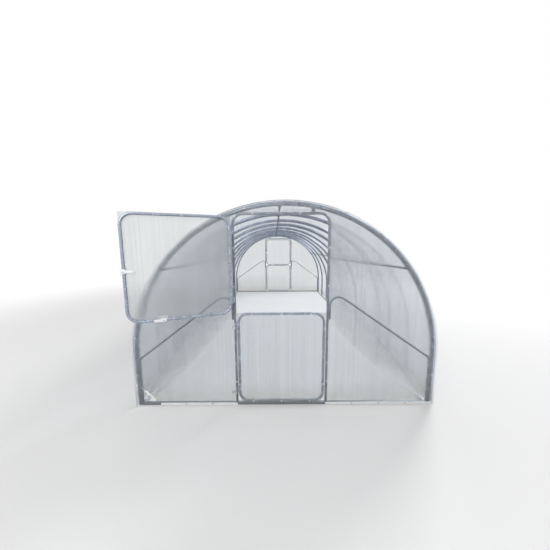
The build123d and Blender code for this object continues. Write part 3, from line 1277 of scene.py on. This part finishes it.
@dataclass
class DoorLeaf:
    """One leaf of a stable door, with its screws and, on an upper leaf, its latches."""

    house: House
    end: str
    level: Level
    open_by: float = 0.0
    ring_inset: float = 0.0125
    screw_step: float = 0.27
    row_margin: float = 0.15
    stile_shift: float = 0.05
    stile_share: float = 0.9
    clearing: float = 0.06
    hinge_inset: float = 0.13
    plate_face: float = 0.0033
    plate_shift: float = 0.015
    plate_screws: tuple[float, float] = (0.020, 0.038)
    stile_latch: float = 0.478
    rail_latch: float = 0.285
    pivot_depth: float = 0.0388
    pivot_screw: PanScrew = PanScrew(radius=0.006, height=0.003)
    latch_bevel: float = 0.0011
    merge_gap: float = 0.00002

    @property
    def name(self) -> str:
        """Start of the leaf's piece names."""
        return f"{self.end}_{self.level.value}_leaf"

    @property
    def body(self) -> Body:
        """Body that the leaf's pieces ride on."""
        return Body(f"{self.end}_{self.level.value}_door")

    def build(self) -> None:
        """Dress the nodes and add the small parts."""
        # The ring takes the lighter tube finish, with its painted highlight.
        dress(f"{self.name}_frame", LEAF_RING_PAINTED_HIGHLIGHT)
        dress(f"{self.name}_sheet", OPEN_LEAF_SHEET if self.open_by else GABLE_SHEET)
        self.sheet_screws()
        self.hinge_screws()
        if self.level is Level.UPPER:
            self.latches()

    def closed_box(self) -> tuple[Vector, Vector]:
        """Work out the box of this leaf's sheet as if it hung closed in the front gable.

        Returns:
            Its lowest and its highest corner.
        """
        back = self.seat().inverted()
        points = [back @ v.co for v in frame["nodes"][f"{self.name}_sheet"].data.vertices]
        return tuple(Vector([pick(p[i] for p in points) for i in range(3)]) for pick in (min, max))

    def seat(self) -> Matrix:
        """Matrix from the closed leaf of the front gable to where this leaf is at rest."""
        pin = Matrix.Translation(self.house.pin)
        return self.house.at_gable(self.end) @ pin @ Matrix.Rotation(-self.open_by, 4, "Z") @ pin.inverted()

    def row(self, length: float, shift: float = 0.0, share: float = 1.0) -> list[float]:
        """Space screws along an edge.

        Args:
            length: Length of the edge.
            shift: How far the row is moved along it.
            share: Distance between screws, as a share of the even one.

        Returns:
            Places of the screws from the start of the edge.
        """
        span = length - 2 * self.row_margin
        count = int(span / self.screw_step) + 1
        return [self.row_margin + shift + span / (count - 1) * n * share for n in range(count)]

    def sheet_screws(self) -> None:
        """Drive screws through the sheet into the leaf's ring."""
        low, high = self.closed_box()
        inset = self.ring_inset
        stile = self.row(high.z - low.z, self.stile_shift, self.stile_share)
        rail = self.row(high.x - low.x)
        points = [Vector((x, low.y, low.z + z)) for x in (low.x + inset, high.x - inset) for z in stile]
        points += [Vector((low.x + x, low.y, z)) for z in (low.z + inset, high.z - inset) for x in rail]
        spots = [Spot(p, TO_FRONT) for p in points if self.free_spot(p, low, high)]
        fit(f"{self.name}_screws", RoofingScrew().model(), spots, self.seat(), self.body, HARDWARE, RUBBER)

    def free_spot(self, point: Vector, low: Vector, high: Vector) -> bool:
        """Say whether a screw clears the hinge plates and the latch covers.

        Args:
            point: Place of the screw.
            low: Lowest corner of the closed sheet.
            high: Its highest corner.

        Returns:
            True where the screw has room.
        """
        taken = [Vector((low.x, low.y, z)) for z in self.hinge_heights()]
        if self.level is Level.UPPER:
            taken += [Vector((high.x, low.y, high.z - self.stile_latch)),
                      Vector((high.x - self.rail_latch, low.y, low.z))]
        return all(max(abs(point.x - t.x), abs(point.z - t.z)) >= self.clearing for t in taken)

    def hinge_heights(self) -> tuple[float, float]:
        """Heights of the two hinges of this leaf."""
        low, high = self.closed_box()
        return low.z + self.hinge_inset, high.z - self.hinge_inset

    def plate_spots(self, face: float, way: int) -> list[Spot]:
        """Find the screws in one half of each hinge.

        Args:
            face: Outer face of the sheet under the plates, along Y.
            way: 1 for the leaf's half, -1 for the post's.

        Returns:
            Their spots in the closed front gable.
        """
        x, y = self.house.pin.x, face - self.plate_face
        return [Spot(Vector((x + way * reach, y, z + way * self.plate_shift)), TO_FRONT)
                for z in self.hinge_heights() for reach in self.plate_screws]

    def hinge_screws(self) -> None:
        """Put screws in the hinge plates, on the leaf and on the post."""
        moving = self.plate_spots(self.closed_box()[0].y, 1)
        fixed = self.plate_spots(self.house.sheet_face, -1)
        fit(f"{self.name}_hinge_screws", PanScrew().model(), moving, self.seat(), self.body, HARDWARE)
        fit(f"{self.end}_{self.level.value}_post_hinge_screws", PanScrew().model(), fixed,
            self.house.at_gable(self.end), Body.HOUSE, HARDWARE)

    def latches(self) -> None:
        """Put latches with rounded edges in place of the plain ones, and add their pivot screws."""
        source = frame["nodes"][f"{self.name}_latches"]
        latch = source.copy()
        latch.data = source.data.copy()
        latch.parent = None
        bpy.context.scene.collection.objects.link(latch)
        with Editing(latch):
            bpy.ops.mesh.select_all(action="SELECT")
            bpy.ops.mesh.remove_doubles(threshold=self.merge_gap)
            bpy.ops.mesh.dissolve_limited(angle_limit=radians(1.0))
        round_edges(latch, self.latch_bevel, segments=3, sharp_angle=45.0)
        for key in list(latch.keys()):
            del latch[key]
        hand_over(latch, f"{self.name}_latch_bodies", self.body, WHITE)
        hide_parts(f"{self.name}_latches")
        low, high = self.closed_box()
        inner = low.y + self.house.sheet_thickness + self.pivot_depth
        places = ((high.x - self.ring_inset, high.z - self.stile_latch),
                  (high.x - self.rail_latch, low.z + self.ring_inset))
        spots = [Spot(Vector((x, inner, z)), -TO_FRONT) for x, z in places]
        fit(f"{self.name}_latch_pivots", self.pivot_screw.model(), spots, self.seat(), self.body, HARDWARE)


@dataclass(frozen=True)
class Lamp:
    """Square soft light aimed at the middle of the house: its name, place, power in watts and side."""

    name: str
    place: Vector
    power: float
    side: float = 4.0
    aim: Vector = Vector((0.0, 2.5, 0.8))

    def hang(self) -> None:
        """Hang the lamp in its place and aim it."""
        light = bpy.data.lights.new(self.name, "AREA")
        light.size = self.side
        light.energy = self.power
        holder = bpy.data.objects.new(self.name, light)
        bpy.context.scene.collection.objects.link(holder)
        holder.location = self.place
        holder.rotation_euler = (self.aim - self.place).to_track_quat("-Z", "Y").to_euler()


@dataclass
class Studio:
    """Pale floor, soft lights, white surround and the camera."""

    floor_radius: float = 60.0
    floor_sides: int = 96
    floor_middle: float = 3.0
    floor_drop: float = 0.0005
    floor_grey: float = 0.65
    floor_unseen: float = 0.24
    fade_start: float = 3.6
    fade_end: float = 9.5
    surround: float = 1.0
    zenith: float = 0.85
    zenith_from: float = 0.55
    horizon: float = 0.15
    lamps: tuple[Lamp, ...] = (Lamp("key_light", Vector((9.0, 9.0, 10.0)), 1500.0),
                               Lamp("fill_light", Vector((-3.0, -6.5, 5.0)), 330.0))
    camera_at: Vector = Vector((-0.093, -2.147, 1.625))
    focal_pixels: float = 222.0
    picture: float = 550.0
    sensor: float = 36.0
    pitch: float = 7.06
    roll: float = -0.3

    def build(self) -> None:
        """Set up floor, world, lamps and camera."""
        self.floor()
        self.world()
        for lamp in self.lamps:
            lamp.hang()
        self.camera()
        bpy.context.scene.view_settings.view_transform = "Standard"

    def floor(self) -> None:
        """Lay a round pale floor that fades into the surround."""
        middle = Vector((0.0, self.floor_middle, 0.0))
        bpy.ops.mesh.primitive_circle_add(vertices=self.floor_sides, radius=self.floor_radius,
                                          fill_type="NGON", location=middle - UP * self.floor_drop)
        floor = settle(bpy.context.object)
        floor.name = "studio_floor"
        finish = bpy.data.materials.new("studio_floor")
        graph = Graph.of(finish)
        tones = ((grey,) * 3 for grey in (self.floor_unseen, self.floor_grey))
        plain = graph.add("ShaderNodeBsdfDiffuse", {"Color": graph.blend(self.seen_directly(graph), *tones)})
        far = graph.add("ShaderNodeEmission", {"Color": (1.0, 1.0, 1.0, 1.0), "Strength": self.surround})
        moved = graph.add("ShaderNodeMapping", {"Vector": graph.object_point(), "Location": -middle})
        reach = graph.add("ShaderNodeVectorMath", {0: moved.outputs[0]}, operation="LENGTH").outputs["Value"]
        faded = graph.spread(reach, self.fade_start, self.fade_end)
        mixed = graph.add("ShaderNodeMixShader", {0: faded, 1: plain.outputs[0], 2: far.outputs[0]})
        graph.add("ShaderNodeOutputMaterial", {"Surface": mixed.outputs[0]})
        floor.data.materials.append(finish)

    @staticmethod
    def seen_directly(graph: Graph) -> Socket:
        """Tell what the camera sees straight, in a reflection or through a sheet.

        Args:
            graph: Nodes of the floor or the world.

        Returns:
            One there, and zero elsewhere.
        """
        path = graph.add("ShaderNodeLightPath").outputs
        mirrored = graph.math("MAXIMUM", path["Is Glossy Ray"], path["Is Transmission Ray"])
        return graph.math("MAXIMUM", path["Is Camera Ray"], mirrored)

    def world(self) -> None:
        """Make the surround white for camera, gloss and glass, and softer for lighting."""
        world = bpy.data.worlds.new("surround")
        bpy.context.scene.world = world
        graph = Graph.of(world)
        way = graph.add("ShaderNodeTexCoord").outputs["Generated"]
        height = graph.add("ShaderNodeSeparateXYZ", {0: way}).outputs["Z"]
        sky = graph.spread(height, 0.0, self.zenith_from, self.horizon, self.zenith)
        seen = self.seen_directly(graph)
        strength = graph.add("ShaderNodeMix", {0: seen, 2: sky, 3: self.surround}).outputs[0]
        sky = graph.add("ShaderNodeBackground", {"Color": (1.0, 1.0, 1.0, 1.0), "Strength": strength})
        graph.add("ShaderNodeOutputWorld", {"Surface": sky.outputs[0]})

    def camera(self) -> None:
        """Stand the camera in front of the house, at eye height."""
        data = bpy.data.cameras.new("viewpoint")
        data.sensor_width = self.sensor
        data.lens = self.focal_pixels / self.picture * self.sensor
        holder = bpy.data.objects.new("viewpoint", data)
        bpy.context.scene.collection.objects.link(holder)
        tilt = Matrix.Rotation(radians(90.0 - self.pitch), 4, "X")
        roll = Matrix.Rotation(radians(self.roll), 4, "Z")
        holder.matrix_world = Matrix.Translation(self.camera_at) @ tilt @ roll
        bpy.context.scene.camera = holder


def main() -> None:
    """Build the studio and dress the house, piece by piece."""
    Studio().build()
    house = House()
    SteelFrame(house).build()
    RoofSkin(house).build()
    for end in ENDS:
        GableWall(house, end).build()
    for end in ENDS:
        for level in Level:
            stands_open = end == "front" and level is Level.UPPER
            DoorLeaf(house, end, level, OPEN_ANGLE if stands_open else 0.0).build()


if __name__ == "__main__":
    main()
